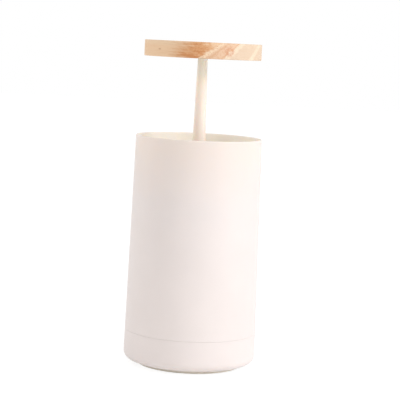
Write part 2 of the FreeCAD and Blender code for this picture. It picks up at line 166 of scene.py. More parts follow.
def rounded(corners):
    """Closed outline of (radius, height, rounding) corners, each rounded by an arc."""
    steps = 6                           # in each arc
    outline = []
    for index, (radius, height, rounding) in enumerate(corners):
        here = Vector((radius, height))
        if rounding == 0:
            outline.append(here)
            continue
        before = (Vector(corners[index - 1][:2]) - here).normalized()
        after = (Vector(corners[(index + 1) % len(corners)][:2]) - here).normalized()
        half = before.angle(after) / 2
        centre = here + (before + after).normalized() * rounding / math.sin(half)
        start = here + before * rounding / math.tan(half) - centre
        end = here + after * rounding / math.tan(half) - centre
        arc = start.angle(end)
        for step in range(steps + 1):
            share = step / steps
            from_start, from_end = math.sin((1 - share) * arc), math.sin(share * arc)
            outline.append(centre + (start * from_start + end * from_end) / math.sin(arc))
    return outline


def turned(name, corners, segments=TURNED_SEGMENTS, distance=0.0):
    """Solid turned about Z, or about an upright axis at a distance along +X."""
    mesh = bmesh.new()
    rings = []
    for radius, height in rounded(corners):
        ring = []
        for index in range(segments if radius > 0 else 1):
            angle = 2 * math.pi * index / segments
            ring.append(mesh.verts.new((distance + radius * math.cos(angle),
                                        radius * math.sin(angle), height)))
        rings.append(ring)
    for lower, upper in zip(rings, rings[1:] + rings[:1]):
        for index in range(segments):
            after = index + 1
            around = [lower[index % len(lower)], lower[after % len(lower)],
                      upper[after % len(upper)], upper[index % len(upper)]]
            around = list(dict.fromkeys(around))
            if len(around) > 2:
                mesh.faces.new(around)
    return piece(name, mesh)


def post(name, radius, bottom, top, distance):
    """Upright round post at a distance along +X."""
    return turned(name, [(0, bottom, 0), (radius, bottom, 0), (radius, top, 0), (0, top, 0)],
                  SMALL_SEGMENTS, distance)


def fin(name, width, corners):
    """Flat fin in the XZ plane with these (radius, height) corners, centred on it."""
    mesh = bmesh.new()
    near = [mesh.verts.new((radius, -width / 2, height)) for radius, height in corners]
    far = [mesh.verts.new((radius, width / 2, height)) for radius, height in corners]
    mesh.faces.new(near)
    mesh.faces.new(far)
    for index in range(len(corners)):
        after = (index + 1) % len(corners)
        mesh.faces.new([near[index], near[after], far[after], far[index]])
    return piece(name, mesh)


def bar(name, inner, outer, width, bottom, top):
    """Straight bar along +X from an inner to an outer distance."""
    return fin(name, width, [(inner, bottom), (outer, bottom), (outer, top), (inner, top)])


def threaded(name, radius, pitch, bottom, top, distance=0.0):
    """Threaded shank with its crests at this radius, at a distance along +X."""
    depth, sides = 0.3 * pitch, 24
    before, over = 1.5, 2           # turns it starts early, and turns more than it is long
    mesh = bmesh.new()
    steps = math.ceil((top - bottom) / pitch + over) * sides
    roots, crests = [], []
    for step in range(steps + 1):
        angle = 2 * math.pi * step / sides
        height = bottom + pitch * (step / sides - before)
        for row, at, lift in ((roots, radius - depth, 0), (crests, radius, pitch / 2)):
            row.append(mesh.verts.new((distance + at * math.cos(angle), at * math.sin(angle),
                                       height + lift)))
    for step in range(steps):
        mesh.faces.new([roots[step], roots[step + 1], crests[step + 1], crests[step]])
    for step in range(steps - sides):
        above = step + sides
        mesh.faces.new([crests[step], crests[step + 1], roots[above + 1], roots[above]])
    for loop in (roots[:sides + 1] + crests[:1], crests[-sides - 1:] + roots[-1:]):
        centre = mesh.verts.new((distance, 0, loop[0].co.z))
        for one, two in zip(loop, loop[1:] + loop[:1]):
            mesh.faces.new([centre, one, two])
    ends = post("ends", radius + PAST, bottom, top, distance)
    return combine(piece(name, mesh), ends, "INTERSECT")


def cut_cross(made, radius, face, seat, distance=0.0):
    """Cuts a cross recess into a screw's head, whose outer face is at one height."""
    length, half_width = 0.55 * radius, 0.14 * radius
    depth = 0.6                         # share of the head's height
    low, high = sorted((2 * face - seat, face + depth * (seat - face)))
    combine(made, bar("slot", distance - length, distance + length, 2 * half_width, low, high),
            "DIFFERENCE")
    return combine(made, bar("slot", distance - half_width, distance + half_width, 2 * length,
                             low, high), "DIFFERENCE")


def screw(name, distance, radius, face, seat, shank_radius, tip, pitch):
    """Cross-head screw at a distance along +X. Its head lies between its face and its seat."""
    made = turned(name, [(0, face, 0), (radius, face, 0.5), (radius, seat, 0), (0, seat, 0)],
                  SMALL_SEGMENTS, distance)
    low, high = sorted(((face + seat) / 2, tip))
    combine(made, threaded("shank", shank_radius, pitch, low, high, distance), "UNION")
    return cut_cross(made, radius, face, seat, distance)


def spaced(made, count, first=0.0):
    """The same object with copies of its mesh evenly round Z, the first at an angle in degrees."""
    whole = bmesh.new()
    for index in range(count):
        copy = made.data.copy()
        copy.transform(Matrix.Rotation(math.radians(first + 360 * index / count), 4, "Z"))
        whole.from_mesh(copy)
        bpy.data.meshes.remove(copy)
    whole.to_mesh(made.data)
    whole.free()
    return made


def combine(made, other, operation):
    """Joins other with UNION, cuts it out with DIFFERENCE or keeps what both share with INTERSECT.

    Other is removed.
    """
    boolean = made.modifiers.new("combine", "BOOLEAN")
    boolean.object = other
    boolean.operation = operation
    boolean.solver = "EXACT"
    result = bpy.data.meshes.new_from_object(
        made.evaluated_get(bpy.context.evaluated_depsgraph_get()))
    made.modifiers.remove(boolean)
    old = made.data
    made.data = result
    bpy.data.meshes.remove(old)
    bpy.data.objects.remove(other)
    return made


def stands_for(made, node, body, material):
    """Gives a new piece its material and smooth shading, hangs it on its body, and hides the CAD
    node.
    """
    made.data.materials.clear()
    made.data.materials.append(material)
    smoothed(made)
    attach(made, body)
    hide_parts(node)
    return made


# ---- Shapes ----------------------------------------------------------------------------------
def shell():
    """Tapered tube with a rounded lip, stop bead, guide ribs and screw posts."""
    bottom = shell_bottom - SEAM_CLOSED
    bead_land, bead_slope, bead_round = 1.2, 2.2, 0.3
    made = turned("shell_moulded", [
        (bore, bottom, 0.15),
        (side(bottom), bottom, SEAM_ROUND),
        (side(rim_height), rim_height, LIP_ROUND),
        (mouth, rim_height, LIP_ROUND),
        (mouth, bead_under + bead_land + bead_slope, bead_round),
        (bead_radius, bead_under + bead_land, bead_round),
        (bead_radius, bead_under, 0),
        (bore, bead_under, 0)])
    rib_bottom, rib_lead = spigot_top + 0.5, 1.5
    rib_inner = tray_radius - RIB_BITE
    rib = fin("rib", RIB_WIDTH, [
        (rib_inner + rib_lead, rib_bottom), (bore + LET_IN, rib_bottom),
        (bore + LET_IN, stop_under), (rib_inner, stop_under), (rib_inner, rib_bottom + rib_lead)])
    boss_radius, boss_top, web_width, pilot_radius = 3.3, spigot_top + 2.2, 1.8, 1.35
    boss = post("boss", boss_radius, boss_bottom, boss_top, screw_circle)
    web = bar("web", screw_circle, bore + LET_IN, web_width, bottom, boss_top)
    pilot = post("pilot", pilot_radius, boss_bottom - PAST, screw_tip + LET_IN, screw_circle)
    combine(boss, web, "UNION")
    combine(boss, pilot, "DIFFERENCE")
    combine(made, spaced(rib, RIB_COUNT), "UNION")
    return combine(made, spaced(boss, SCREW_COUNT, BETWEEN_RIBS), "UNION")


def cap():
    """Cup under the seam: rounded edge, foot groove, spigot and screw posts."""
    top = cap_side_top + SEAM_CLOSED
    play, spigot_wall, relief, step = 0.1, 1.6, 1.0, 2.0
    spigot_outer = bore - play
    spigot_inner = spigot_outer - spigot_wall
    inner = spigot_inner + relief
    foot_play = 0.2
    groove_inner, groove_outer = foot_inner - foot_play, foot_outer + foot_play
    recess = sleeve_radius + play / 2   # locates the latch's sleeve
    made = turned("cap_moulded", [
        (0, cap_bottom, 0),
        (groove_inner, cap_bottom, 0.2),
        (groove_inner, groove_top, 0),
        (groove_outer, groove_top, 0),
        (groove_outer, cap_bottom, 0.2),
        (side(cap_bottom), cap_bottom, BASE_ROUND),
        (side(top), top, SEAM_ROUND),
        (spigot_outer, top, 0),
        (spigot_outer, spigot_top, 0.3),
        (spigot_inner, spigot_top, 0.3),
        (spigot_inner, top, 0),
        (inner, top - step, 0),
        (inner, floor_top, 1.0),
        (recess, floor_top, 0),
        (recess, sleeve_bottom, 0),
        (0, sleeve_bottom, 0)])
    pad_radius, latch_post_radius, latch_post_height = 3.8, 2.5, 6.7
    pad = post("pad", pad_radius, floor_top - LET_IN, boss_bottom, screw_circle)
    latch_post = post("latch_post", latch_post_radius, floor_top - LET_IN,
                      sleeve_bottom + latch_post_height, latch_screw_circle)
    head_radius, hole_radius, pilot_radius, pilot_play = 2.8, 1.5, 1.15, 0.3
    head_hole = post("head_hole", head_radius, cap_bottom - PAST, screw_face + SCREW_HEAD,
                     screw_circle)
    hole = post("hole", hole_radius, cap_bottom - PAST, boss_bottom + PAST, screw_circle)
    pilot = post("pilot", pilot_radius, latch_screw_tip - pilot_play, flange_top,
                 latch_screw_circle)
    way_width = 2.0                     # through the spigot, for the web of a shell's screw post
    way = bar("way", spigot_inner - PAST, spigot_outer + play, way_width, top, spigot_top + PAST)
    combine(made, spaced(pad, SCREW_COUNT, BETWEEN_RIBS), "UNION")
    combine(made, spaced(latch_post, SCREW_COUNT), "UNION")
    for cutter in (head_hole, hole, way):
        combine(made, spaced(cutter, SCREW_COUNT, BETWEEN_RIBS), "DIFFERENCE")
    combine(made, spaced(pilot, SCREW_COUNT), "DIFFERENCE")
    return moulding_marks(made)


def moulding_marks(made):
    """Gate dimple and ejector marks on the underside."""
    gate_radius, gate_depth = 1.6, 0.35
    mark_radius, mark_depth, mark_circle, mark_count = 2.2, 0.12, 12.0, 4
    gate = post("gate", gate_radius, cap_bottom - PAST, cap_bottom + gate_depth, 0)
    mark = post("mark", mark_radius, cap_bottom - PAST, cap_bottom + mark_depth, mark_circle)
    combine(made, gate, "DIFFERENCE")
    return combine(made, spaced(mark, mark_count, 180 / mark_count), "DIFFERENCE")


def foot():
    """Soft ring in the cap's groove, with a lip that covers the groove's outer edge."""
    lip, lip_gap = 0.6, 0.05
    lip_radius, lip_top = foot_outer + lip, cap_bottom - lip_gap
    return turned("foot_soft", [
        (foot_inner, 0, 0.4), (lip_radius, 0, 0.25), (lip_radius, lip_top, 0.2),
        (foot_outer, lip_top, 0), (foot_outer, groove_top, 0), (foot_inner, groove_top, 0)])


def lid():
    """Solid disc with softened edges, bored for the rod's tip and the stud."""
    seat_radius, edge_round = 2.4, 0.3
    return turned("lid_turned", [
        (seat_radius, lid_bottom, 0.15),
        (lid_radius, lid_bottom, edge_round),
        (lid_radius, lid_top, edge_round),
        (0, lid_top, 0),
        (0, stud_top + LET_IN, 0),
        (STUD_BORE, stud_top + LET_IN, 0),
        (STUD_BORE, rod_tip, 0),
        (seat_radius, rod_tip, 0)], segments=192)


def rod():
    """Tapered rod with a collar on the tray's hub and a shank through it to the latch."""
    collar, collar_height, shank, groove, groove_play = 5.4, 1.4, 3.1, 2.6, 0.05
    foot_radius, tip_radius, thread_bore = 3.65, 2.3, 1.45
    collar_top = tray_top + collar_height
    groove_bottom = levels("tray_clip")[0] - groove_play
    return turned("rod_moulded", [
        (thread_bore, rod_bottom, 0.1),
        (shank, rod_bottom, 0.3),
        (shank, groove_bottom, 0.1),
        (groove, groove_bottom, 0),
        (groove, hub_bottom, 0),
        (shank, hub_bottom, 0.1),
        (shank, tray_top, 0),
        (collar, tray_top, 0.2),
        (collar, collar_top, 0.4),
        (foot_radius, collar_top, 1.2),
        (tip_radius, lid_bottom, 0),
        (tip_radius, rod_tip, 0.2),
        (STUD_BORE, rod_tip, 0),
        (STUD_BORE, stud_bottom - LET_IN, 0),
        (0, stud_bottom - LET_IN, 0),
        (0, thread_top + LET_IN, 0),
        (thread_bore, thread_top + LET_IN, 0)], segments=72)


def tray():
    """Tray with a lip, a notched skirt, a hub, a ring that locates the spring, and ribs."""
    shank_bore, hub, lip_width, skirt_wall = 3.15, 6.2, 2.1, 1.4
    locator_play, locator_wall, locator_height = 0.35, 1.0, 3.5
    locator = spring_inner - locator_play
    edge, corner = 0.25, 0.4            # roundings
    made = turned("tray_moulded", [
        (shank_bore, hub_bottom, 0.1),
        (hub, hub_bottom, edge),
        (hub, tray_under, corner),
        (locator - locator_wall, tray_under, 0),
        (locator - locator_wall, tray_under - locator_height, edge),
        (locator, tray_under - locator_height, edge),
        (locator, tray_under, 0),
        (tray_radius - skirt_wall, tray_under, corner),
        (tray_radius - skirt_wall, skirt_bottom, edge),
        (tray_radius, skirt_bottom, edge),
        (tray_radius, tray_lip, edge),
        (tray_radius - lip_width, tray_lip, edge),
        (tray_radius - lip_width, tray_top, corner),
        (shank_bore, tray_top, 0)])
    rib_count, rib_width, rib_height, rib_start = 6, 1.2, 3.5, locator + 2.2
    rib_outer = tray_radius - skirt_wall + LET_IN
    rib = fin("rib", rib_width, [
        (rib_start, tray_under + LET_IN), (rib_outer, tray_under + LET_IN),
        (rib_outer, tray_under - rib_height), (rib_start + rib_height, tray_under - rib_height)])
    notch_play = 0.4
    notch = bar("notch", tray_radius - RIB_BITE - notch_play, tray_radius + PAST,
                RIB_WIDTH + 2 * notch_play, skirt_bottom - PAST, tray_lip + PAST)
    combine(made, spaced(rib, rib_count, 180 / rib_count), "UNION")
    return combine(made, spaced(notch, RIB_COUNT), "DIFFERENCE")


def spring():
    """Round wire coiled with one closed turn at each end, popped up."""
    wire = (spring_outer - spring_inner) / 2
    coil_radius = (spring_outer + spring_inner) / 2
    end_gap, closed_play = 0.05, 0.05   # to the tray, and between the wires of a closed turn
    active_turns = 8                    # one closed turn more at each end
    steps, sides = 48, 10               # along a turn and round the wire
    height = spring_bottom + wire
    top = tray_under - end_gap - wire
    closed_pitch = 2 * wire + closed_play
    open_pitch = (top - height - 2 * closed_pitch) / active_turns
    mesh = bmesh.new()
    sections = []
    for step in range((active_turns + 2) * steps + 1):
        angle = 2 * math.pi * step / steps
        section = []
        for index in range(sides):
            round_wire = 2 * math.pi * index / sides
            radius = coil_radius + wire * math.cos(round_wire)
            section.append(mesh.verts.new((radius * math.cos(angle), radius * math.sin(angle),
                                           height + wire * math.sin(round_wire))))
        sections.append(section)
        closed = step < steps or step >= (active_turns + 1) * steps
        height += (closed_pitch if closed else open_pitch) / steps
    for one, two in zip(sections, sections[1:]):
        for index in range(sides):
            after = (index + 1) % sides
            mesh.faces.new([one[index], one[after], two[after], two[index]])
    mesh.faces.new(sections[0])
    mesh.faces.new(sections[-1])
    return piece("spring_coiled", mesh)


def base_screws():
    """Screws up through the cap into the shell's posts."""
    nearest, farthest = reach("base_screws")
    made = screw("base_screws_cut", screw_circle, (farthest - nearest) / 2, screw_face,
                 screw_face + SCREW_HEAD, shank_radius=1.3, tip=screw_tip, pitch=1.0)
    return spaced(made, SCREW_COUNT, BETWEEN_RIBS)


def latch_screws():
    """Screws down through the latch's flange into the cap's posts."""
    nearest, farthest = reach("latch_screws")
    made = screw("latch_screws_cut", latch_screw_circle, (farthest - nearest) / 2,
                 latch_screw_face, latch_screw_face - LATCH_SCREW_HEAD, shank_radius=1.1,
                 tip=latch_screw_tip, pitch=0.9)
    return spaced(made, SCREW_COUNT)


def rotor_screw():
    """Shoulder screw with a neck that the washer sits in."""
    radius, neck, shoulder = reach("rotor_screw")[1], 1.5, 2.4
    thread, pitch = 1.4, 0.5
    made = turned("rotor_screw_cut", [
        (0, rotor_screw_face, 0), (radius, rotor_screw_face, 0.4), (radius, washer_bottom, 0.1),
        (neck, washer_bottom, 0), (neck, washer_top, 0), (shoulder, washer_top, 0.1),
        (shoulder, rod_bottom, 0.2), (0, rod_bottom, 0)], SMALL_SEGMENTS)
    combine(made, threaded("thread", thread, pitch, rod_bottom - LET_IN, thread_top), "UNION")
    return cut_cross(made, radius, rotor_screw_face, washer_bottom)


def lid_stud():
    """Threaded stud between the rod and the lid."""
    radius, pitch = reach("lid_stud")[1], 0.45
    return threaded("lid_stud_cut", radius, pitch, stud_bottom, stud_top)


# ---- Materials -------------------------------------------------------------------------------
def linear(red, green, blue):
    """Scene colour of an sRGB colour given as 0 to 255."""
    channels = []
    for value in (red, green, blue):
        share = value / 255
        channels.append(share / 12.92 if share <= 0.04045 else ((share + 0.055) / 1.055) ** 2.4)
    return (*channels, 1.0)


class Nodes:
    """A material's node tree, with short ways to add and link nodes."""

    def __init__(self, name, **shader_settings):
        self.material = bpy.data.materials.new(name)
        self.material.use_nodes = True
        self.tree = self.material.node_tree
        self.tree.nodes.clear()
        output = self.tree.nodes.new("ShaderNodeOutputMaterial")
        self.shader = self.tree.nodes.new("ShaderNodeBsdfPrincipled")
        self.tree.links.new(self.shader.outputs["BSDF"], output.inputs["Surface"])
        for setting, value in shader_settings.items():
            self.shader.inputs[setting.replace("_", " ")].default_value = value

    def add(self, kind, inputs=None, **attributes):
        """New node of a kind, with its inputs fed and its attributes set."""
        node = self.tree.nodes.new("ShaderNode" + kind)
        for attribute, value in attributes.items():
            setattr(node, attribute, value)
        for key, value in (inputs or {}).items():
            self.feed(node.inputs[key], value)
        return node

    def feed(self, socket, value):
        """Links a node's output to a socket, or sets the socket to a constant."""
        if isinstance(value, bpy.types.NodeSocket):
            self.tree.links.new(value, socket)
        else:
            socket.default_value = value

    def maths(self, operation, first, second=0.0, third=0.0):
        node = self.add("Math", {0: first, 1: second, 2: third}, operation=operation)
        return node.outputs[0]

    def dot(self, vector, axis):
        node = self.add("VectorMath", {0: vector, 1: axis}, operation="DOT_PRODUCT")
        return node.outputs["Value"]

    def millimetres(self):
        """Place on the object, in millimetres."""
        place = self.add("TexCoord").outputs["Object"]
        node = self.add("VectorMath", {0: place, "Scale": 1 / MM}, operation="SCALE")
        return node.outputs["Vector"]

    def noise(self, vector, scale, detail=2.0, roughness=0.5, distortion=0.0):
        node = self.add("TexNoise", {"Vector": vector, "Scale": scale, "Detail": detail,
                                     "Roughness": roughness, "Distortion": distortion})
        return node.outputs["Fac"]

    def ramp(self, factor, stops):
        """Colours or values by factor, from (position, colour or value) stops."""
        node = self.add("ValToRGB", {"Fac": factor})
        elements = node.color_ramp.elements
        while len(elements) < len(stops):
            elements.new(0.5)
        for element, (position, value) in zip(elements, stops):
            element.position = position
            element.color = value if isinstance(value, tuple) else (value, value, value, 1)
        return node.outputs["Color"]

    def mix(self, factor, first, second):
        """Mixed colour. The node's sockets 6 and 7 and its output 2 are the ones for colours."""
        node = self.add("Mix", {0: factor, 6: first, 7: second}, data_type="RGBA")
        return node.outputs[2]

    def span(self, value, low, high, to_low, to_high):
        """A value taken from one range to another, and held at its ends."""
        node = self.add("MapRange", {"Value": value, "From Min": low, "From Max": high,
                                     "To Min": to_low, "To Max": to_high})
        return node.outputs["Result"]

    def bump(self, height, depth):
        """Relief of this depth, in millimetres."""
        node = self.add("Bump", {"Height": height, "Strength": 1.0, "Distance": depth * MM})
        self.tree.links.new(node.outputs["Normal"], self.shader.inputs["Normal"])


def moulded(name, colour, roughness=0.42, painted_light=None, spread=(1.0, 0.95, 0.9)):
    """Satin moulded plastic with a fine spark-eroded grain, faint flow clouds and uneven gloss.

    A given function paints warm light in places; spread is how far each colour of light goes
    inside.
    """
    nodes = Nodes(name, Specular_IOR_Level=0.45, Subsurface_Radius=spread,
                  Subsurface_Scale=3.5 * MM)
    place = nodes.millimetres()
    height = nodes.add("SeparateXYZ", {"Vector": place}).outputs["Z"]

    # Light gets through the wall where it thins towards the mouth, and round the lower edge.
    thick, thin = cap_side_top, rim_height
    thinness = nodes.maths("POWER", nodes.span(height, thick, thin, 0, 1), 4.0)
    edge_glow = nodes.span(height, 0, 2 * BASE_ROUND, 0.35, 0.03)
    nodes.feed(nodes.shader.inputs["Subsurface Weight"],
               nodes.maths("MULTIPLY_ADD", thinness, 0.55, edge_glow))

    clouds = nodes.noise(place, 0.05, detail=3)
    darker = tuple(channel * 0.965 for channel in colour[:3]) + (1.0,)
    tone = nodes.mix(nodes.span(clouds, 0.3, 0.7, 0, 1), darker, colour)
    # Painted warm light, where a function for it is given.
    if painted_light:
        tone = painted_light(nodes, place, tone)
    specks = nodes.noise(place, 1.6, detail=2)
    tone = nodes.mix(nodes.span(specks, 0.62, 0.8, 0, 0.05), tone, linear(190, 180, 170))
    nodes.feed(nodes.shader.inputs["Base Color"], tone)
    gloss = nodes.noise(place, 0.35, detail=4)
    nodes.feed(nodes.shader.inputs["Roughness"],
               nodes.span(gloss, 0.3, 0.7, roughness - 0.05, roughness + 0.06))
    nodes.bump(nodes.noise(place, 5.0, detail=3, roughness=0.6), 0.006)
    return nodes.material


def painted_chamber_light(nodes, place, tone):
    """Painted light: warmer towards the mouth, and lighter and warmer within its radius."""
    split = nodes.add("SeparateXYZ", {"Vector": place}).outputs
    flat = nodes.add("CombineXYZ", {"X": split["X"], "Y": split["Y"]}).outputs["Vector"]
    radius = nodes.add("VectorMath", {0: flat}, operation="LENGTH").outputs["Value"]
    inside = nodes.span(radius, mouth + 0.1, mouth + 0.3, 1, 0)
    patch = nodes.span(nodes.noise(place, 0.12, detail=2), 0.3, 0.7, 0.85, 1)
    # Painted warm light towards the mouth, inside and out.
    near_mouth = nodes.span(split["Z"], rim_height - 32, rim_height - 2, 0, 1)
    tone = nodes.mix(near_mouth, tone, linear(231, 219, 213))
    # Painted light within the mouth's radius: lighter and warmer, in patches.
    return nodes.mix(nodes.maths("MULTIPLY", inside, patch), tone, linear(255, 247, 236))


def painted_lid_reflection(nodes, place, tone):
    """Painted warm reflection from the lid: the rod is lighter and warmer under it."""
    height = nodes.add("SeparateXYZ", {"Vector": place}).outputs["Z"]
    patch = nodes.span(nodes.noise(place, 0.2, detail=2), 0.3, 0.7, 0.8, 1)
    near_lid = nodes.span(height, rim_height + 12, lid_bottom - 3, 0.1, 1)
    # Painted warm reflection of the lid, strongest just under it.
    return nodes.mix(nodes.maths("MULTIPLY", near_lid, patch), tone, linear(255, 240, 223))


def pine(name):
    """Oiled pine: pale sapwood with slanting rings at the right, deeper heartwood at the left."""
    nodes = Nodes(name, Specular_IOR_Level=0.35)
    place = nodes.add("VectorMath", {0: nodes.millimetres(), 1: (0, 0, lid_middle)},
                      operation="SUBTRACT").outputs["Vector"]
    upward = Vector((0, 0, 1))
    fibre_angle = math.radians(40)          # of the fibres, from the front round to the right
    ring_angle = math.radians(40)           # of the rings, from level
    fibre = Vector((math.sin(fibre_angle), -math.cos(fibre_angle), 0))
    cross = Vector((math.cos(fibre_angle), math.sin(fibre_angle), 0))
    tangent = cross * math.cos(ring_angle) + upward * math.sin(ring_angle)
    outward = cross * math.sin(ring_angle) - upward * math.cos(ring_angle)
    along = nodes.dot(place, fibre)
    height = nodes.dot(place, upward)

    def in_grain(radial, tangential, axial):
        """Place in units of these lengths across the rings, along them and along the fibres."""
        return nodes.add("CombineXYZ", {
            "X": nodes.maths("DIVIDE", nodes.dot(place, outward), radial),
            "Y": nodes.maths("DIVIDE", nodes.dot(place, tangent), tangential),
            "Z": nodes.maths("DIVIDE", along, axial)}).outputs["Vector"]

    def grain(radial, tangential, axial, detail=3.0, roughness=0.55):
        """Noise with these grain sizes across the rings, along them and along the fibres."""
        return nodes.noise(in_grain(radial, tangential, axial), 1.0, detail, roughness)

    def layers(thickness, length=16.0):
        """Noise in long flat layers of this thickness, as the side cuts the fibres lengthways."""
        vector = nodes.add("CombineXYZ", {
            "X": nodes.maths("DIVIDE", nodes.dot(place, cross), length),
            "Y": nodes.maths("DIVIDE", along, 1.5 * length),
            "Z": nodes.maths("DIVIDE", height, thickness)})
        return nodes.noise(vector.outputs["Vector"], 1.0, 2.0, 0.45)

    def away(spot, axial):
        """Distance from a spot, with this much less weight along the fibres."""
        offset = nodes.add("VectorMath", {0: place, 1: spot}, operation="SUBTRACT").outputs[0]
        flat = nodes.add("CombineXYZ", {
            "X": nodes.dot(offset, outward), "Y": nodes.dot(offset, tangent),
            "Z": nodes.maths("DIVIDE", nodes.dot(offset, fibre), axial)})
        return nodes.add("VectorMath", {0: flat.outputs[0]}, operation="LENGTH").outputs["Value"]

    # Depth in the trunk. The rings sway a little, and part round a small knot.
    knot = away((12.2, -25.2, -0.2), 1.6)
    sway = nodes.span(grain(8, 8, 40, detail=2), 0, 1, -0.9, 0.9)
    wobble = nodes.span(grain(0.8, 1.3, 9, detail=4, roughness=0.7), 0, 1, -0.9, 0.9)
    depth = nodes.maths("ADD", nodes.dot(place, outward), nodes.maths("ADD", sway, wobble))
    depth = nodes.maths("ADD", depth, nodes.span(knot, 0.4, 2.4, 0.7, 0))

    # The years of growth: pale early wood and browner late wood, by depth in millimetres.
    heart, creamy, pink = linear(236, 202, 166), linear(236, 211, 181), linear(224, 190, 160)
    late, early, middle = linear(216, 174, 139), linear(231, 213, 189), linear(219, 197, 173)
    years = [(-10.5, heart), (-9.8, creamy), (-8.8, creamy), (-8.1, pink), (-7.4, late),
             (-6.9, pink), (-5.7, pink), (-4.8, pink), (-4.0, late), (-3.4, early), (-2.3, early),
             (-1.4, middle), (5.0, middle), (5.7, early), (7.1, early), (8.0, middle),
             (13.0, middle), (14.2, late), (14.6, early), (19.0, middle)]
    deepest, shallowest = -22.0, 22.0
    stops = [((year - deepest) / (shallowest - deepest), colour) for year, colour in years]
    tone = nodes.ramp(nodes.span(depth, deepest, shallowest, 0, 1), stops)

    # Heartwood towards the pith, with resin-rich wood where its fibres come out at the front.
    heart_edge = nodes.maths("MULTIPLY_ADD", height, -0.1, depth)
    heartwood = nodes.span(heart_edge, -10.0, -9.5, 1, 0)
    in_layers = nodes.span(depth, -10.4, -8.7, 1, 0.25)
    dark_layers = nodes.maths("MULTIPLY", nodes.span(layers(0.35), 0.45, 0.72, 0, 0.4), in_layers)
    tone = nodes.mix(dark_layers, tone, linear(221, 177, 136))
    pale_layers = nodes.maths("MAXIMUM", nodes.span(layers(0.5), 0.55, 0.75, 0, 0.3),
                              nodes.span(height, 0.8, 3.0, 0, 0.5))
    pale_layers = nodes.maths("MULTIPLY", pale_layers, in_layers)
    tone = nodes.mix(pale_layers, tone, creamy)
    tongues = nodes.span(grain(2.4, 1.6, 24), 0.3, 0.7, -2.5, 2.5)
    tongues = nodes.maths("ADD", nodes.span(layers(0.8), 0.25, 0.75, -4, 4), tongues)
    tongues = nodes.maths("ADD", along, tongues)
    rich = nodes.maths("MULTIPLY", nodes.span(tongues, 8.0, 17.5, 0, 1),
                       nodes.span(tongues, 21.5, 25.0, 1, 0.3))
    richer = nodes.mix(0.5, layers(0.6), grain(0.5, 0.8, 12))
    rich_tone = nodes.ramp(nodes.maths("MULTIPLY_ADD", height, 0.03, richer), [
        (0.4, linear(195, 125, 70)), (0.52, linear(209, 148, 97)), (0.7, linear(222, 177, 131))])
    tone = nodes.mix(nodes.maths("MULTIPLY", rich, nodes.maths("MULTIPLY", heartwood, 0.92)),
                     tone, rich_tone)

    # Speckles along the first rings, the knot's eye, and short dark resin canals.
    in_speckles = nodes.maths("MULTIPLY", nodes.span(depth, -10.6, -9.9, 0.12, 1),
                              nodes.span(depth, -5.0, -2.0, 1, 0.25))
    speckles = nodes.maths("MULTIPLY", in_speckles,
                           nodes.span(grain(0.4, 0.6, 4, detail=2), 0.5, 0.64, 0, 0.6))
    tone = nodes.mix(speckles, tone, linear(208, 156, 118))
    eye = nodes.ramp(nodes.maths("DIVIDE", nodes.maths("MULTIPLY_ADD", wobble, 2.4, knot), 2.6),
                     [(0.1, 0.05), (0.35, 0.1), (0.5, 0.7), (0.75, 0.35), (1.0, 0.0)])
    tone = nodes.mix(eye, tone, linear(202, 138, 102))
    canals = nodes.add("TexVoronoi", {"Vector": in_grain(3.6, 3.6, 16), "Scale": 1.0})
    canal = nodes.span(canals.outputs["Distance"], 0.02, 0.06, 0.35, 0)
    dark_spot = nodes.span(away((-20.2, -19.4, -0.3), 2.5), 0.1, 0.5, 0.6, 0)
    tone = nodes.mix(nodes.maths("MAXIMUM", canal, dark_spot), tone, linear(176, 124, 88))
    fibres = layers(0.22, 4.0)
    tone = nodes.mix(nodes.span(fibres, 0.5, 0.75, 0, 0.16), tone, linear(212, 165, 125))
    nodes.feed(nodes.shader.inputs["Base Color"], tone)
    nodes.feed(nodes.shader.inputs["Roughness"], nodes.span(fibres, 0.3, 0.7, 0.48, 0.66))
    nodes.bump(fibres, 0.02)
    return nodes.material


def soft(name, colour):
    """Silicone: matte, with a dusty bloom and a fine moulded grain."""
    roughness = 0.62
    nodes = Nodes(name, Specular_IOR_Level=0.4, Subsurface_Weight=0.1,
                  Subsurface_Radius=(1.0, 0.8, 0.7), Subsurface_Scale=0.8 * MM)
    place = nodes.millimetres()
    bloom = nodes.noise(place, 0.4, detail=5, roughness=0.65)
    dusty = tuple(min(1.0, channel * 1.12) for channel in colour[:3]) + (1.0,)
    nodes.feed(nodes.shader.inputs["Base Color"],
               nodes.mix(nodes.span(bloom, 0.35, 0.7, 0, 1), colour, dusty))
    nodes.feed(nodes.shader.inputs["Roughness"],
               nodes.span(bloom, 0.3, 0.7, roughness - 0.06, roughness + 0.08))
    nodes.bump(nodes.noise(place, 4.0, detail=3), 0.01)
    return nodes.material


def acetal(name, colour):
    """Waxy engineering plastic with faint knit lines."""
    nodes = Nodes(name, Specular_IOR_Level=0.5, Subsurface_Weight=0.15,
                  Subsurface_Radius=(1.0, 0.9, 0.8), Subsurface_Scale=1.0 * MM)
    place = nodes.millimetres()
    flow = nodes.noise(place, 0.3, detail=4, distortion=1.5)
    deeper = tuple(channel * 0.93 for channel in colour[:3]) + (1.0,)
    nodes.feed(nodes.shader.inputs["Base Color"],
               nodes.mix(nodes.span(flow, 0.35, 0.65, 0, 1), deeper, colour))
    nodes.feed(nodes.shader.inputs["Roughness"], nodes.span(flow, 0.3, 0.7, 0.26, 0.38))
    nodes.bump(nodes.noise(place, 3.0, detail=2), 0.004)
    return nodes.material


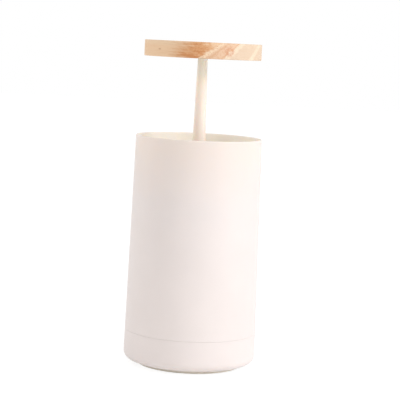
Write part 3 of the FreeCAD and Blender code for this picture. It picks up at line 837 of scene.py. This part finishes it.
def metal(name, colour, roughness, squeeze):
    """Steel with fine tool or drawing marks, squeezed this many times in height."""
    nodes = Nodes(name, Metallic=1.0)
    place = nodes.millimetres()
    split = nodes.add("SeparateXYZ", {"Vector": place}).outputs
    marks_place = nodes.add("CombineXYZ", {
        "X": split["X"], "Y": split["Y"], "Z": nodes.maths("MULTIPLY", split["Z"], squeeze)})
    marks = nodes.noise(marks_place.outputs["Vector"], 2.5, detail=4, roughness=0.6)
    tarnish = nodes.noise(place, 0.5, detail=3)
    dull = tuple(channel * 0.82 for channel in colour[:3]) + (1.0,)
    nodes.feed(nodes.shader.inputs["Base Color"],
               nodes.mix(nodes.span(tarnish, 0.4, 0.7, 0, 0.7), colour, dull))
    nodes.feed(nodes.shader.inputs["Roughness"],
               nodes.span(marks, 0.3, 0.7, roughness - 0.07, roughness + 0.1))
    nodes.bump(marks, 0.006)
    return nodes.material


# The shell and the rod get painted warm light in places.
body_plastic = moulded("body_abs", linear(233, 224, 221), painted_light=painted_chamber_light,
                       spread=(1.0, 0.78, 0.6))
rod_plastic = moulded("rod_abs", linear(244, 234, 227), roughness=0.38, painted_light=painted_lid_reflection,
                      spread=(1.0, 0.68, 0.5))
tray_plastic = moulded("tray_abs", linear(246, 239, 230))
lid_pine = pine("lid_pine")
foot_silicone = soft("foot_silicone", linear(234, 226, 214))
stop_silicone = soft("stop_silicone", linear(214, 211, 205))
latch_acetal = acetal("latch_acetal", linear(236, 236, 230))
rotor_acetal = acetal("rotor_acetal", linear(112, 142, 172))
spring_steel = metal("spring_steel", linear(196, 195, 192), roughness=0.3, squeeze=1.0)
plated_steel = metal("plated_steel", linear(206, 206, 204), roughness=0.32, squeeze=3.0)
ballast_steel = metal("ballast_steel", linear(168, 168, 168), roughness=0.42, squeeze=6.0)

# ---- Pieces ----------------------------------------------------------------------------------
stands_for(shell(), "body_shell", "housing", body_plastic)
stands_for(cap(), "base_cap", "housing", body_plastic)
stands_for(foot(), "foot_ring", "housing", foot_silicone)
stands_for(lid(), "lid_disc", "lift", lid_pine)
stands_for(rod(), "lift_rod", "lift", rod_plastic)
stands_for(tray(), "pick_tray", "lift", tray_plastic)
coil = stands_for(spring(), "main_spring", "housing", spring_steel)
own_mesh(coil)

stands_for(base_screws(), "base_screws", "housing", plated_steel)
stands_for(latch_screws(), "latch_screws", "housing", plated_steel)
stands_for(rotor_screw(), "rotor_screw", "lift", plated_steel)
stands_for(lid_stud(), "lid_stud", "lift", plated_steel)

# The other pieces inside keep their CAD shapes.
for node, material in (
        ("stop_ring", stop_silicone), ("base_weight", ballast_steel),
        ("rotor_washer", plated_steel), ("spring_washer", plated_steel),
        ("tray_clip", spring_steel), ("latch_sleeve", latch_acetal),
        ("latch_cam_ring", latch_acetal), ("latch_rotor", rotor_acetal)):
    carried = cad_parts[node]
    carried.data.materials.clear()
    carried.data.materials.append(material)


# ---- Floor, light and camera -----------------------------------------------------------------
def floor():
    """Pale floor, seen and mirrored as just white, with the object's faint shadow on it."""
    bounce, shown = 0.97, 0.2           # its grey for the light it throws back, and for the eye
    glow = 0.87                         # brings the grey for the eye up to white
    half_width = 3000
    mesh = bmesh.new()
    bmesh.ops.create_grid(mesh, x_segments=1, y_segments=1, size=half_width)
    made = piece("floor", mesh)
    nodes = Nodes("floor_pale", Roughness=0.9, Specular_IOR_Level=0.1)
    rays = nodes.add("LightPath").outputs
    seen = nodes.maths("MAXIMUM", rays["Is Camera Ray"],
                       nodes.maths("MAXIMUM", rays["Is Glossy Ray"], rays["Is Transmission Ray"]))
    nodes.feed(nodes.shader.inputs["Base Color"],
               nodes.mix(seen, (bounce, bounce, bounce, 1), (shown, shown, shown, 1)))
    nodes.shader.inputs["Emission Color"].default_value = (1, 1, 1, 1)
    nodes.feed(nodes.shader.inputs["Emission Strength"], nodes.maths("MULTIPLY", seen, glow))
    made.data.materials.append(nodes.material)


def softbox(name, size, power, colour, place, aim):
    """Rectangular area light of a size in metres, turned from its place to its aim."""
    light = bpy.data.lights.new(name, "AREA")
    light.shape = "RECTANGLE"
    light.size, light.size_y = size
    light.energy = power
    light.color = colour
    lamp = bpy.data.objects.new(name, light)
    lamp.location = place
    lamp.rotation_euler = (Vector(aim) - Vector(place)).to_track_quat("-Z", "Y").to_euler()
    bpy.context.scene.collection.objects.link(lamp)


def backdrop():
    """White world: plain fill light on the object, full white where it is seen or mirrored."""
    fill_strength = 0.795
    world = bpy.data.worlds.new("studio")
    world.use_nodes = True
    tree = world.node_tree
    tree.nodes.clear()
    rays = tree.nodes.new("ShaderNodeLightPath").outputs
    mirrored = tree.nodes.new("ShaderNodeMath")
    mirrored.operation = "MAXIMUM"
    tree.links.new(rays["Is Glossy Ray"], mirrored.inputs[0])
    tree.links.new(rays["Is Transmission Ray"], mirrored.inputs[1])
    seen = tree.nodes.new("ShaderNodeMath")
    seen.operation = "MAXIMUM"
    tree.links.new(rays["Is Camera Ray"], seen.inputs[0])
    tree.links.new(mirrored.outputs[0], seen.inputs[1])
    fill = tree.nodes.new("ShaderNodeBackground")
    fill.inputs["Color"].default_value = (1.0, 0.985, 0.97, 1)
    fill.inputs["Strength"].default_value = fill_strength
    white = tree.nodes.new("ShaderNodeBackground")
    white.inputs["Color"].default_value = (1, 1, 1, 1)
    white.inputs["Strength"].default_value = 1.0
    blend = tree.nodes.new("ShaderNodeMixShader")
    tree.links.new(seen.outputs[0], blend.inputs["Fac"])
    tree.links.new(fill.outputs[0], blend.inputs[1])
    tree.links.new(white.outputs[0], blend.inputs[2])
    output = tree.nodes.new("ShaderNodeOutputWorld")
    tree.links.new(blend.outputs[0], output.inputs["Surface"])
    bpy.context.scene.world = world


def camera():
    """Camera level with the lid, looking a little down, and rolled as it was held."""
    place = Vector((0, -692.4, 155.8)) * MM
    aim = Vector((1.9, 0, 79.9)) * MM
    roll, focal_pixels, sensor = 0.0483, 1441.1, 36.0
    forward = (aim - place).normalized()
    level = forward.cross(Vector((0, 0, 1))).normalized()
    upright = level.cross(forward)
    right = math.cos(roll) * level + math.sin(roll) * upright
    up = math.cos(roll) * upright - math.sin(roll) * level
    lens = bpy.data.cameras.new("camera")
    lens.sensor_width = sensor
    lens.lens = focal_pixels / PHOTO_WIDTH * sensor
    made = bpy.data.objects.new("camera", lens)
    facing = Matrix((right, up, -forward)).transposed().to_4x4()
    made.matrix_world = Matrix.Translation(place) @ facing
    bpy.context.scene.collection.objects.link(made)
    bpy.context.scene.camera = made


floor()
backdrop()
softbox("key", size=(0.5, 0.7), power=7.8, colour=(0.985, 0.985, 1.0),
        place=(1.13, -0.49, 0.75), aim=(0, 0, 0.08))
softbox("low", size=(0.9, 0.15), power=1.2, colour=(1.0, 0.99, 0.995),
        place=(0.72, -0.87, 0.05), aim=(0, 0, 0.05))
softbox("rim", size=(0.5, 0.8), power=1.2, colour=(1.0, 0.98, 0.96),
        place=(-0.95, 0.3, 0.4), aim=(0, 0, 0.08))
camera()
bpy.context.scene.view_settings.view_transform = "Standard"
